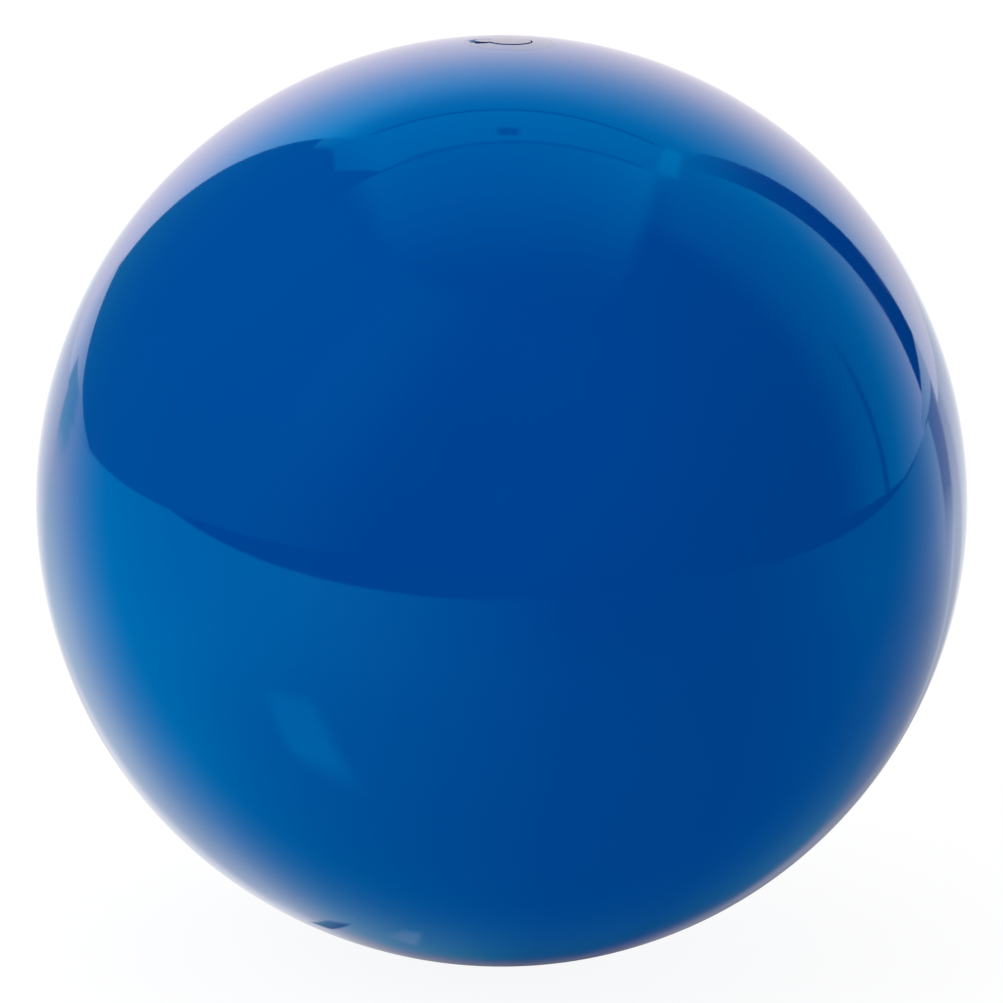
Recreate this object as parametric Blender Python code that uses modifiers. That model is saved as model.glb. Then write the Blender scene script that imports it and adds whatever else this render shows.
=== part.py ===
"""Gymnastics ball: a hollow moulded skin with an air valve at its top.

The valve is a soft insert bonded to a pad inside the skin, and a plug with a pull tab closes it.
Units are metres. The origin is the ball's centre, and +Z runs from it out through the valve.
"""

import math

import bmesh
import bpy
from mathutils import Matrix, Vector

# Skin
BALL_DIAMETER = 0.190
SKIN_THICKNESS = 0.0031
PAD_RISE = 0.0005  # step from the skin's inside to the pad, at the pad's edge
PAD_MARGIN = 0.0015  # pad left bare around the insert's flange
PAD_SLOPE = 0.0020  # width of the pad's sloping edge

# Plug
HEAD_OVERLAP = 0.00165  # head's rim beyond the bore
HEAD_THICKNESS = 0.0018
HEAD_PROUD = 0.0005  # head's top above the insert's face
STEM_LENGTH = 0.0115
TIP_LENGTH = 0.0018
RIB_COUNT = 3
RIB_WIDTH = 0.0014
RIB_HEIGHT = 0.00035
TAB_LENGTH = 0.00285  # from the head's rim to the tab's tip
TAB_WIDTH = 0.0034
TAB_THICKNESS = 0.0008
TAB_STEP = 0.00015  # tab's top below the head's top

# Insert
BORE_DIAMETER = 0.0052
BORE_TAPER = 0.0008  # diameter lost from the bore's mouth to its end
TUBE_WALL = 0.0018
TUBE_LENGTH = 0.0080  # below the flange
FLANGE_WIDTH = 0.0037  # beyond the neck
FLANGE_THICKNESS = 0.0018
FACE_WIDTH = 0.0010  # insert's face outside the nail scoop
NAIL_GAP = 0.0008  # under the tab

# Fits
BOND_GAP = 0.0003  # insert to skin
PLUG_CLEARANCE = 0.0003  # plug to insert
SCOOP_MARGIN = 0.0006  # nail scoop around the tab

# Edges
SKIN_EDGE = 0.0004
INSERT_EDGE = 0.0003
INSERT_FILLET = 0.0006
HEAD_EDGE = 0.00035
TAB_EDGE = 0.0002

# Facets
SKIN_SEGMENTS = 56
SKIN_RINGS = 13  # from the equator to a pole
VALVE_SEGMENTS = 40
TAB_SEGMENTS = 24
TIP_STEPS = 4
EDGE_STEPS = 3
TAB_EDGE_STEPS = 2
SHARP_ANGLE = math.radians(35)

# Sizes that follow from those above
BALL_RADIUS = BALL_DIAMETER / 2
INNER_RADIUS = BALL_RADIUS - SKIN_THICKNESS
HEAD_RADIUS = BORE_DIAMETER / 2 + HEAD_OVERLAP
TAB_REACH = HEAD_RADIUS + TAB_LENGTH
RECESS_RADIUS = HEAD_RADIUS + PLUG_CLEARANCE
NECK_RADIUS = TAB_REACH + SCOOP_MARGIN + FACE_WIDTH
HOLE_RADIUS = NECK_RADIUS + BOND_GAP
FLANGE_RADIUS = NECK_RADIUS + FLANGE_WIDTH
TUBE_RADIUS = BORE_DIAMETER / 2 + TUBE_WALL
PAD_RADIUS = FLANGE_RADIUS + PAD_MARGIN

# Heights above the ball's centre
FACE_HEIGHT = math.sqrt(BALL_RADIUS**2 - HOLE_RADIUS**2)
PAD_HEIGHT = math.sqrt(INNER_RADIUS**2 - PAD_RADIUS**2) - PAD_RISE

# Heights above the insert's face
HEAD_BOTTOM = HEAD_PROUD - HEAD_THICKNESS
RECESS_FLOOR = HEAD_BOTTOM - PLUG_CLEARANCE
STEM_END = HEAD_BOTTOM - STEM_LENGTH
TAB_TOP = HEAD_PROUD - TAB_STEP
TAB_BOTTOM = TAB_TOP - TAB_THICKNESS
FLANGE_TOP = PAD_HEIGHT - BOND_GAP - FACE_HEIGHT
FLANGE_BOTTOM = FLANGE_TOP - FLANGE_THICKNESS
TUBE_END = FLANGE_BOTTOM - TUBE_LENGTH

# Finishes: linear colour and roughness
SKIN_FINISH = ((0.000, 0.057, 0.280), 0.06)
INSERT_FINISH = ((0.000, 0.045, 0.215), 0.12)
PLUG_FINISH = ((0.004, 0.026, 0.130), 0.15)


def clear_scene():
    for item in list(bpy.data.objects):
        bpy.data.objects.remove(item, do_unlink=True)


def new_collection(name):
    collection = bpy.data.collections.new(name)
    bpy.context.scene.collection.children.link(collection)
    return collection


def new_material(name, finish):
    colour, roughness = finish
    material = bpy.data.materials.new(name)
    material.use_nodes = True
    shader = material.node_tree.nodes["Principled BSDF"]
    shader.inputs["Base Color"].default_value = (*colour, 1)
    shader.inputs["Roughness"].default_value = roughness
    shader.inputs["Metallic"].default_value = 0
    return material


def new_empty(name, collection, height=0, parent=None):
    empty = bpy.data.objects.new(name, None)
    empty.location.z = height
    empty.parent = parent
    collection.objects.link(empty)
    return empty


def sphere_point(radius, angle):
    """Profile point on a sphere, at an angle from +Z."""
    return radius * math.sin(angle), radius * math.cos(angle)


def sphere_arc(radius, start, end, rings):
    """Profile points along a sphere, between two angles from +Z."""
    return [sphere_point(radius, start + (end - start) * i / rings) for i in range(rings + 1)]


def round_corner(before, corner, after, radius):
    """Points of the arc that rounds the corner between two neighbouring profile points."""
    before, corner, after = Vector(before), Vector(corner), Vector(after)
    to_before = (before - corner).normalized()
    to_after = (after - corner).normalized()
    half = to_before.angle(to_after) / 2
    room = min((before - corner).length, (after - corner).length) / 2
    radius = min(radius, room * math.tan(half))
    centre = corner + (to_before + to_after).normalized() * radius / math.sin(half)
    start = corner + to_before * radius / math.tan(half) - centre
    end = corner + to_after * radius / math.tan(half) - centre
    steps = [start.lerp(end, i / EDGE_STEPS).normalized() for i in range(EDGE_STEPS + 1)]
    return [tuple(centre + step * radius) for step in steps]


def rounded(corners, closed):
    """Profile with each corner (r, z, radius) rounded. A radius of 0 keeps the corner."""
    profile = []
    count = len(corners)
    for i, (r, z, radius) in enumerate(corners):
        at_end = not closed and i in (0, count - 1)
        if radius == 0 or at_end:
            profile.append((r, z))
            continue
        before = corners[i - 1][:2]
        after = corners[(i + 1) % count][:2]
        profile.extend(round_corner(before, (r, z), after, radius))
    return profile


def smooth_mesh(mesh):
    mesh.shade_smooth()
    mesh.set_sharp_from_angle(angle=SHARP_ANGLE)


def turned(name, profile, closed, segments, material, collection, parent):
    """Body of revolution about Z from a profile of (r, z) points that runs down its outer side."""
    points = [(r, 0, z) for r, z in profile]
    edges = [(i, i + 1) for i in range(len(points) - 1)]
    if closed:
        edges.append((len(points) - 1, 0))
    outline = bpy.data.meshes.new(name + "_profile")
    outline.from_pydata(points, edges, [])
    part = bpy.data.objects.new(name, outline)
    collection.objects.link(part)

    screw = part.modifiers.new("Turn", "SCREW")
    screw.axis = "Z"
    screw.angle = 2 * math.pi
    screw.steps = segments
    screw.render_steps = segments
    screw.use_merge_vertices = True
    screw.merge_threshold = 1e-6

    graph = bpy.context.evaluated_depsgraph_get()
    part.data = bpy.data.meshes.new_from_object(part.evaluated_get(graph))
    part.modifiers.clear()
    part.data.name = name
    part.data.materials.append(material)
    smooth_mesh(part.data)
    part.parent = parent
    return part


def round_ended_block(name, near, far, width, bottom, top, collection, parent):
    """Upright block with round ends, lying along -X from the near to the far distance."""
    radius = width / 2
    half_step = Matrix.Rotation(math.pi / TAB_SEGMENTS, 4, "Z")
    place = Matrix.Translation((radius - far, 0, (bottom + top) / 2))
    shape = bmesh.new()
    bmesh.ops.create_cone(
        shape,
        cap_ends=True,
        segments=TAB_SEGMENTS,
        radius1=radius,
        radius2=radius,
        depth=top - bottom,
        matrix=place @ half_step,
    )
    for corner in shape.verts:
        if corner.co.x > radius - far:
            corner.co.x += far - near - width
    mesh = bpy.data.meshes.new(name)
    shape.to_mesh(mesh)
    shape.free()
    block = bpy.data.objects.new(name, mesh)
    block.hide_render = True
    block.display_type = "WIRE"
    block.parent = parent
    collection.objects.link(block)
    return block


def combine(part, other, operation):
    boolean = part.modifiers.new(other.name, "BOOLEAN")
    boolean.operation = operation
    boolean.solver = "EXACT"
    boolean.object = other


def make_ball_shell(collection, centre):
    """Skin of even thickness, open at the valve, with a flat pad inside around the opening."""
    pad_edge = math.asin((PAD_RADIUS + PAD_SLOPE) / INNER_RADIUS)
    hole_edge = math.asin(HOLE_RADIUS / BALL_RADIUS)
    equator = math.pi / 2
    inside = [
        (0, -INNER_RADIUS),
        *sphere_arc(INNER_RADIUS, math.pi, equator, SKIN_RINGS)[1:],
        *sphere_arc(INNER_RADIUS, equator, pad_edge, SKIN_RINGS)[1:],
    ]
    outside = [
        *sphere_arc(BALL_RADIUS, hole_edge, equator, SKIN_RINGS)[:-1],
        *sphere_arc(BALL_RADIUS, equator, math.pi, SKIN_RINGS)[:-1],
        (0, -BALL_RADIUS),
    ]
    mouth = [
        (PAD_RADIUS, PAD_HEIGHT),
        (HOLE_RADIUS, PAD_HEIGHT),
        *round_corner((HOLE_RADIUS, PAD_HEIGHT), outside[0], outside[1], SKIN_EDGE),
    ]
    profile = inside + mouth + outside[1:]
    material = new_material("skin", SKIN_FINISH)
    return turned("ball_shell", profile, False, SKIN_SEGMENTS, material, collection, centre)


def bore_radius(height):
    """Radius of the tapered bore at a height above the insert's face."""
    depth = (RECESS_FLOOR - height) / (RECESS_FLOOR - TUBE_END)
    return (BORE_DIAMETER - BORE_TAPER * depth) / 2


def make_valve_seat(collection, cutters, valve):
    """Insert with a neck through the skin, a flange under the pad and a tube into the ball."""
    corners = [
        (NECK_RADIUS, 0, INSERT_EDGE),
        (NECK_RADIUS, FLANGE_TOP, 0),
        (FLANGE_RADIUS, FLANGE_TOP, 0),
        (FLANGE_RADIUS, FLANGE_BOTTOM, INSERT_EDGE),
        (TUBE_RADIUS, FLANGE_BOTTOM, INSERT_FILLET),
        (TUBE_RADIUS, TUBE_END, INSERT_EDGE),
        (bore_radius(TUBE_END), TUBE_END, 0),
        (bore_radius(RECESS_FLOOR), RECESS_FLOOR, 0),
        (RECESS_RADIUS, RECESS_FLOOR, 0),
        (RECESS_RADIUS, 0, 0),
    ]
    profile = rounded(corners, closed=True)
    material = new_material("insert", INSERT_FINISH)
    seat = turned("valve_seat", profile, True, VALVE_SEGMENTS, material, collection, valve)
    scoop_width = TAB_WIDTH + 2 * SCOOP_MARGIN
    scoop = round_ended_block(
        "nail_scoop",
        near=HEAD_RADIUS - scoop_width / 2,
        far=TAB_REACH + SCOOP_MARGIN,
        width=scoop_width,
        bottom=TAB_BOTTOM - NAIL_GAP,
        top=HEAD_THICKNESS,
        collection=cutters,
        parent=valve,
    )
    combine(seat, scoop, "DIFFERENCE")
    return seat


def stem_point(height, inset):
    """Profile point of the stem, inside the bore by the plug's clearance and an inset."""
    return bore_radius(height) - PLUG_CLEARANCE - inset, height


def stem_profile():
    """Stem from the head down, with evenly spaced ribs and a domed tip."""
    tip_start = STEM_END + TIP_LENGTH
    pitch = (HEAD_BOTTOM - tip_start) / (RIB_COUNT + 1)
    profile = [stem_point(HEAD_BOTTOM, RIB_HEIGHT)]
    for i in range(RIB_COUNT):
        crest = HEAD_BOTTOM - pitch * (i + 1)
        profile += [
            stem_point(crest + RIB_WIDTH / 2, RIB_HEIGHT),
            stem_point(crest, 0),
            stem_point(crest - RIB_WIDTH / 4, 0),
            stem_point(crest - RIB_WIDTH / 2, RIB_HEIGHT),
        ]
    tip_radius, _ = stem_point(tip_start, RIB_HEIGHT)
    for i in range(TIP_STEPS):
        angle = math.pi / 2 * i / TIP_STEPS
        profile.append((tip_radius * math.cos(angle), tip_start - TIP_LENGTH * math.sin(angle)))
    profile.append((0, STEM_END))
    return profile


def make_valve_plug(collection, cutters, valve):
    """Plug with a round head in the insert's recess, a ribbed stem and a pull tab."""
    head = rounded(
        [(0, HEAD_PROUD, 0), (HEAD_RADIUS, HEAD_PROUD, HEAD_EDGE), (HEAD_RADIUS, HEAD_BOTTOM, 0)],
        closed=False,
    )
    material = new_material("plug", PLUG_FINISH)
    profile = head + stem_profile()
    plug = turned("valve_plug", profile, False, VALVE_SEGMENTS, material, collection, valve)
    tab = round_ended_block(
        "pull_tab",
        near=-TAB_WIDTH / 2,
        far=TAB_REACH,
        width=TAB_WIDTH,
        bottom=TAB_BOTTOM,
        top=TAB_TOP,
        collection=cutters,
        parent=valve,
    )
    edges = tab.modifiers.new("Edges", "BEVEL")
    edges.width = TAB_EDGE
    edges.segments = TAB_EDGE_STEPS
    combine(plug, tab, "UNION")
    return plug


def main():
    clear_scene()
    parts = new_collection("gymnastics_ball")
    cutters = new_collection("cutters")
    centre = new_empty("ball_centre", parts)
    valve = new_empty("valve_axis", parts, FACE_HEIGHT, centre)
    make_ball_shell(parts, centre)
    make_valve_seat(parts, cutters, valve)
    make_valve_plug(parts, cutters, valve)


main()
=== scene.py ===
"""Looks of a gymnastics ball: a glossy blue skin, a soft valve insert and its pull-out plug.

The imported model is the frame. Each piece is a numpy surface in the frame's metres, with +Z out
through the valve, and stands for one node of the frame.
"""

import math
from typing import NamedTuple

import bpy
import numpy as np
from bpy.props import (
    FloatProperty,
    FloatVectorProperty,
    IntProperty,
    PointerProperty,
)
from mathutils import Euler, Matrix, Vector


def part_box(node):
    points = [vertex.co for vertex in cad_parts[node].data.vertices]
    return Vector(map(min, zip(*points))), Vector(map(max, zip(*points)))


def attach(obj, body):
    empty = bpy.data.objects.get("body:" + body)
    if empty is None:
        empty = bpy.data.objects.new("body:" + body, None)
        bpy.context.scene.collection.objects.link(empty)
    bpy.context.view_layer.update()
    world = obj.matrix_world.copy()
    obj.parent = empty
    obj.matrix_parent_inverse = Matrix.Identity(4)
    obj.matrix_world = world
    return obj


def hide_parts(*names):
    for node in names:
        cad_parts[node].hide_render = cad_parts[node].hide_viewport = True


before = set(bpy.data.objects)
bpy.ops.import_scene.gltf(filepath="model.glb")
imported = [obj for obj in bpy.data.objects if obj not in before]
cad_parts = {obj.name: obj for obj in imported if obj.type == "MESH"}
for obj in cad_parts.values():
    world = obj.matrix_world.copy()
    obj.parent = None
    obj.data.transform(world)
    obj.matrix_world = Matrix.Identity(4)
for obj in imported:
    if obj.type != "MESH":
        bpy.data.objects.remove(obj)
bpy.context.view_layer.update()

bl_info = {
    "name": "Gymnastics ball",
    "version": (1, 0, 0),
    "blender": (4, 5, 0),
    "location": "View3D > Sidebar > Ball",
    "description": "Makes a glossy gymnastics ball with its valve, on a studio floor",
    "category": "Add Mesh",
}

# Sizes read from the frame
_, SHELL_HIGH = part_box("ball_shell")
SEAT_LOW, SEAT_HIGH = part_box("valve_seat")
PLUG_LOW, PLUG_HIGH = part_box("valve_plug")
BALL_RADIUS = SHELL_HIGH.x
FACE_HEIGHT = SEAT_HIGH.z

# Fineness of the meshes
SKIN_COLUMNS = 224
SKIN_ROWS = 120
LINING_ROWS = 48
VALVE_COLUMNS = 192
TAB_COLUMNS = 161
EDGE_STEPS = 6
DOME_STEPS = 10
STRAIGHT_STOPS = (0.03, 0.2, 0.4, 0.6, 0.8, 0.97)
CARD_CELLS = 48
FLOOR_RINGS = 120
FLOOR_COLUMNS = 240

# Slow waves of the moulded skin, and the angles from the valve between which they set in
SKIN_WAVES = np.array(
    [
        (3.1, -1.2, 2.2),
        (-2.4, 3.6, 1.5),
        (1.7, 4.3, -2.9),
        (5.2, 1.1, 3.3),
        (-1.9, -2.6, 5.6),
    ]
)
WAVES_START = math.radians(14)
WAVES_FULL = math.radians(40)
MOUTH_MARGIN = math.radians(1.5)  # wall on both sides that the hole's outline takes in

# Roundings of the insert, and its nail scoop's slope as distances from the scoop's outline
SEAM_EDGE = 0.00002
INSERT_EDGE = 0.0003
TUBE_FILLET = 0.0006
BORE_EDGE = 0.00025
RECESS_FILLET = 0.0002
RECESS_EDGE = 0.00012
SCOOP_FOOT = -0.0006
SCOOP_LIP = 0.0001

# Roundings of the plug, from the head's top to the ribs
HEAD_EDGE = 0.00012
TAB_ROOT = 0.00002
TAB_EDGE = 0.00018
TAB_UNDERSIDE = 0.00005
HEAD_LOWER_EDGE = 0.0002
STEM_FILLET = 0.00025
RIB_EDGE = 0.0001

# Corners of a rib from its upper end, as shares of its width and of its height
RIB_PLACES = (0.5, 0.1, -0.25, -0.5)
RIB_RISES = (0, 1, 1, 0)

TAB_SPREAD = math.radians(30)  # half angle with the closely spaced columns
TAB_DRAW = 0.0003  # reach at which the tab has its full form
LEAST_SINE = 1e-6
ROUNDING_ERROR = 1e-7


def length(name, description, default):
    return FloatProperty(
        name=name, description=description, default=default, min=0, unit="LENGTH", precision=5
    )


def height(name, description, default):
    return FloatProperty(
        name=name, description=description, default=default, unit="LENGTH", precision=5
    )


def share(name, description, default):
    return FloatProperty(
        name=name, description=description, default=default, min=0, max=1, subtype="FACTOR"
    )


def level(name, description, default):
    return FloatProperty(name=name, description=description, default=default, min=0)


def angle(name, description, degrees):
    return FloatProperty(
        name=name, description=description, default=math.radians(degrees), subtype="ANGLE"
    )


def colour(name, description, default):
    return FloatVectorProperty(
        name=name, description=description, default=default, min=0, max=1, size=3, subtype="COLOR"
    )


class SkinSettings(bpy.types.PropertyGroup):
    """Moulded skin of the ball"""

    radius: length("Radius", "Outside radius of the ball", BALL_RADIUS)
    thickness: length("Thickness", "Wall of the skin", 0.0031)
    opening: length("Opening", "Radius of the hole for the valve", 0.0090)
    edge: length("Edge", "Rounding of the hole's edges", 0.0003)
    rim_edge: length("Rim edge", "Rounding of the hole's outer edge", 0.00002)
    pad_radius: length("Pad radius", "Flat thick part inside, around the hole", 0.0139)
    pad_slope: length("Pad slope", "Width of the pad's sloping edge", 0.0020)
    pad_height: height("Pad height", "Pad's flat side above the ball's centre", 0.09034)
    unevenness: length("Unevenness", "How far the moulded skin strays from a sphere", 0.00006)
    colour: colour("Colour", "Colour of the skin", (0.0, 0.0495, 0.274))
    pale_colour: colour("Pale colour", "Colour where the pigment is thinner", (0.0, 0.0525, 0.288))
    gloss_tint: colour("Gloss tint", "Colour of the gloss seen head on", (0.0, 0.6, 1.0))
    roughness: share("Roughness", "Roughness of the clean gloss", 0.045)
    smudge: share("Smudges", "Roughness that handling adds", 0.05)
    dust_colour: colour("Dust colour", "Colour of the dust specks", (0.30, 0.38, 0.52))


class InsertSettings(bpy.types.PropertyGroup):
    """Soft insert of the valve. Heights are above its face"""

    face_height: height("Face height", "Insert's face above the ball's centre", FACE_HEIGHT)
    neck_radius: length("Neck radius", "Neck that fills the skin's hole", 0.00899)
    dome: share("Dome", "How much of the ball's curve the face follows", 0.9)
    flange_radius: length("Flange radius", "Flange under the skin's pad", SEAT_HIGH.x)
    flange_top: height("Flange top", "Flange's upper side", -0.00453)
    flange_thickness: length("Flange thickness", "Thickness of the flange", 0.0018)
    tube_radius: length("Tube radius", "Outside of the tube", 0.0044)
    tube_end: height("Tube end", "Lower end of the tube", SEAT_LOW.z - FACE_HEIGHT)
    bore_mouth: length("Bore mouth", "Radius of the bore under the head", 0.0026)
    bore_end: length("Bore end", "Radius of the bore at the tube's end", 0.0022)
    recess_radius: length("Recess radius", "Recess for the plug's head", 0.00455)
    recess_floor: height("Recess floor", "Floor of that recess", -0.0016)
    scoop_reach: length("Scoop reach", "Nail scoop's end from the axis", 0.0077)
    scoop_width: length("Scoop width", "Width of the nail scoop", 0.0046)
    scoop_depth: length("Scoop depth", "Depth of the nail scoop", 0.00125)
    colour: colour("Colour", "Colour of the insert", (0.0, 0.045, 0.225))
    gloss_tint: colour("Gloss tint", "Colour of the gloss seen head on", (0.0, 0.6, 1.0))
    roughness: share("Roughness", "Roughness of the satin face", 0.10)


class PlugSettings(bpy.types.PropertyGroup):
    """Plug of the valve. Heights are above the insert's face"""

    head_radius: length("Head radius", "Radius of the head", PLUG_HIGH.y)
    head_top: height("Head top", "Top of the head", PLUG_HIGH.z - FACE_HEIGHT)
    head_bottom: height("Head bottom", "Underside of the head", -0.0013)
    dome: length("Dome", "How far the head's top curves down to its edge", 0.000095)
    tab_reach: length("Tab reach", "Tab's tip from the axis", -PLUG_LOW.x)
    tab_width: length("Tab width", "Width of the tab", 0.0034)
    tab_top: height("Tab top", "Top of the tab", 0.00035)
    tab_bottom: height("Tab bottom", "Underside of the tab", -0.00045)
    stem_radius: length("Stem radius", "Stem between the ribs, under the head", 0.00196)
    stem_taper: length("Stem taper", "Radius that the stem loses to its tip", 0.00035)
    stem_end: height("Stem end", "Tip of the stem", PLUG_LOW.z - FACE_HEIGHT)
    tip_length: length("Tip length", "Length of the domed tip", 0.0018)
    rib_height: length("Rib height", "How far a rib stands out", 0.00035)
    rib_width: length("Rib width", "Width of a rib along the stem", 0.0014)
    rib_count: IntProperty(name="Ribs", description="Ribs on the stem", default=3, min=1)
    colour: colour("Colour", "Colour of the plug", (0.004, 0.026, 0.130))
    worn_colour: colour("Worn colour", "Colour of the rubbed patches", (0.010, 0.038, 0.160))
    gloss_tint: colour("Gloss tint", "Colour of the gloss seen head on", (0.25, 0.65, 1.0))
    roughness: share("Roughness", "Roughness of the rubber", 0.12)


class StageSettings(bpy.types.PropertyGroup):
    """Camera, floor and light"""

    camera_distance: length("Camera distance", "Camera from the ball's centre", 1.2)
    camera_elevation: angle("Camera elevation", "Camera above the horizon", 13.6)
    camera_roll: angle("Camera roll", "Turn of the camera about its view", 1.05)
    lens: FloatProperty(
        name="Lens", description="Focal length in millimetres", default=210.7, subtype="DISTANCE_CAMERA"
    )
    camera_shift: FloatProperty(
        name="Camera shift",
        description="Upward shift of the ball in the picture",
        default=-0.0008,
        precision=4,
    )
    room_light: level("Room light", "Even light from all around", 0.80)
    room_gloss: level("Room gloss", "Dark room that the gloss shows between the cards", 0.15)
    key_power: FloatProperty(
        name="Key power", description="Power of the key lamp", default=22, min=0, unit="POWER"
    )
    top_power: FloatProperty(
        name="Top power", description="Power of the lamp overhead", default=10, min=0, unit="POWER"
    )
    floor_bounce: level("Floor bounce", "Light that the floor throws up", 0.97)
    floor_glow: level("Floor glow", "Part of the floor's white that no shadow dims", 0.92)
    floor_shade: level("Floor shade", "Part of the floor's white that shadows dim", 0.10)


def smooth_step(low, high, value):
    """0 below low and 1 above high, with 3t^2 - 2t^3 between them."""
    t = np.clip((value - low) / (high - low), 0, 1)
    return t * t * (3 - 2 * t)


def unit(vectors):
    return vectors / np.linalg.norm(vectors, axis=-1, keepdims=True)


def corner_arcs(before, corner, after, radius):
    """Arcs that round several corners at once, each tangent to both sides of its corner.

    The centre lies on the corner's bisector, the radius over the sine of the half angle away. The
    arc turns from one tangent point to the other by spherical interpolation.
    """
    to_before = unit(before - corner)
    to_after = unit(after - corner)
    half = np.arccos(np.clip((to_before * to_after).sum(-1, keepdims=True), -1, 1)) / 2
    radius = radius[:, None]
    centre = corner + unit(to_before + to_after) * radius / np.sin(half)
    start = corner + to_before * radius / np.tan(half) - centre
    end = corner + to_after * radius / np.tan(half) - centre
    sweep = (math.pi - 2 * half)[:, None]
    t = np.linspace(0, 1, EDGE_STEPS + 1)[None, :, None]
    blend = np.sin((1 - t) * sweep) * start[:, None] + np.sin(t * sweep) * end[:, None]
    return centre[:, None] + blend / np.sin(sweep)


def straight_runs(starts, ends):
    """Points along straight lines, close to both ends so that flat sides shade flat."""
    stops = np.array(STRAIGHT_STOPS)[None, :, None]
    return starts[:, None] + (ends - starts)[:, None] * stops


def closed_outline(corners):
    """Closed outline through corners of (r, z, rounding), with each corner rounded."""
    corners = np.array(corners, float)
    points, radius = corners[:, :2], corners[:, 2]
    arcs = corner_arcs(np.roll(points, 1, axis=0), points, np.roll(points, -1, axis=0), radius)
    runs = straight_runs(arcs[:, -1], np.roll(arcs[:, 0], -1, axis=0))
    return np.concatenate([arcs, runs], axis=1).reshape(-1, 2)


def open_outline(corners):
    """Outline through corners of (r, z, rounding), with all but the first and last rounded."""
    corners = np.array(corners, float)
    points, radius = corners[:, :2], corners[:, 2]
    arcs = corner_arcs(points[:-2], points[1:-1], points[2:], radius[1:-1])
    starts = np.concatenate([points[:1], arcs[:, -1]])
    ends = np.concatenate([arcs[:, 0], points[-1:]])
    runs = straight_runs(starts, ends)
    middle = np.concatenate([arcs, runs[1:]], axis=1).reshape(-1, 2)
    return np.concatenate([points[:1], runs[0], middle, points[-1:]])


def sphere_arc(radius, angles):
    """Profile points (r, z) on a sphere, at angles from +Z."""
    return radius * np.stack([np.sin(angles), np.cos(angles)], axis=-1)


def turned(profile, angles):
    """Grid of a profile carried round the Z axis: (r cos a, r sin a, z)."""
    r = profile[:, :1]
    z = np.repeat(profile[:, 1:], len(angles), axis=1)
    return np.stack([r * np.cos(angles), r * np.sin(angles), z], axis=-1)


def full_turn(columns):
    return np.linspace(0, 2 * math.pi, columns, endpoint=False)


def skin_surface(skin):
    """Outside, hole, pad and inside of the skin in one profile, from pole to pole.

    Both walls are sphere arcs. The hole's edges and the pad's edge are rounded corners between
    them. Afterwards each point moves along its own direction d by a sum of slow sine waves of d,
    which fades out towards the valve so that the hole keeps its size.
    """
    inner_radius = skin.radius - skin.thickness
    pad_angle = math.asin((skin.pad_radius + skin.pad_slope) / inner_radius)
    hole_angle = math.asin(skin.opening / skin.radius)
    inside_angles = np.linspace(math.pi, pad_angle + MOUTH_MARGIN, LINING_ROWS)
    outside_angles = np.linspace(hole_angle + MOUTH_MARGIN, math.pi, SKIN_ROWS)
    inside = sphere_arc(inner_radius, inside_angles)
    outside = sphere_arc(skin.radius, outside_angles)
    rim = sphere_arc(skin.radius, np.array([hole_angle]))[0]
    mouth = open_outline(
        [
            (*inside[-1], 0),
            (*sphere_arc(inner_radius, np.array([pad_angle]))[0], skin.edge),
            (skin.pad_radius, skin.pad_height, skin.edge),
            (skin.opening, skin.pad_height, skin.edge),
            (*rim, skin.rim_edge),
            (*outside[0], 0),
        ]
    )
    profile = np.concatenate([inside[1:-1], mouth, outside[1:-1]])
    grid = turned(profile, full_turn(SKIN_COLUMNS))

    direction = unit(grid)
    phases = np.arange(len(SKIN_WAVES))
    stray = np.sin(direction @ SKIN_WAVES.T + phases).mean(axis=-1)
    from_valve = np.arccos(np.clip(direction[..., 2], -1, 1))
    stray *= smooth_step(WAVES_START, WAVES_FULL, from_valve)
    grid += direction * (skin.unevenness * stray)[..., None]
    poles = np.array([[0, 0, -inner_radius], [0, 0, -skin.radius]])
    return grid, poles


def tab_outline(angles, reach, width):
    """Distance from the axis to the edge of a round-ended bar along -X, at angles about the axis.

    With d the angle from -X, c the distance to the centre of the round end and w half the width,
    the end lies at c cos d + sqrt(w^2 - c^2 sin^2 d) and the straight sides lie at w / |sin d|.
    """
    half = width / 2
    centre = reach - half
    turn = np.abs(np.angle(np.exp(1j * (angles - math.pi))))
    sine = np.maximum(np.sin(turn), LEAST_SINE)
    end = centre * np.cos(turn) + np.sqrt(np.maximum(half**2 - (centre * sine) ** 2, 0))
    side = half / sine
    on_end = (centre * sine <= half) & (end * np.cos(turn) >= centre)
    outline = np.where(on_end, end, side)
    return np.where(turn < math.pi / 2, outline, 0)


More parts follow.
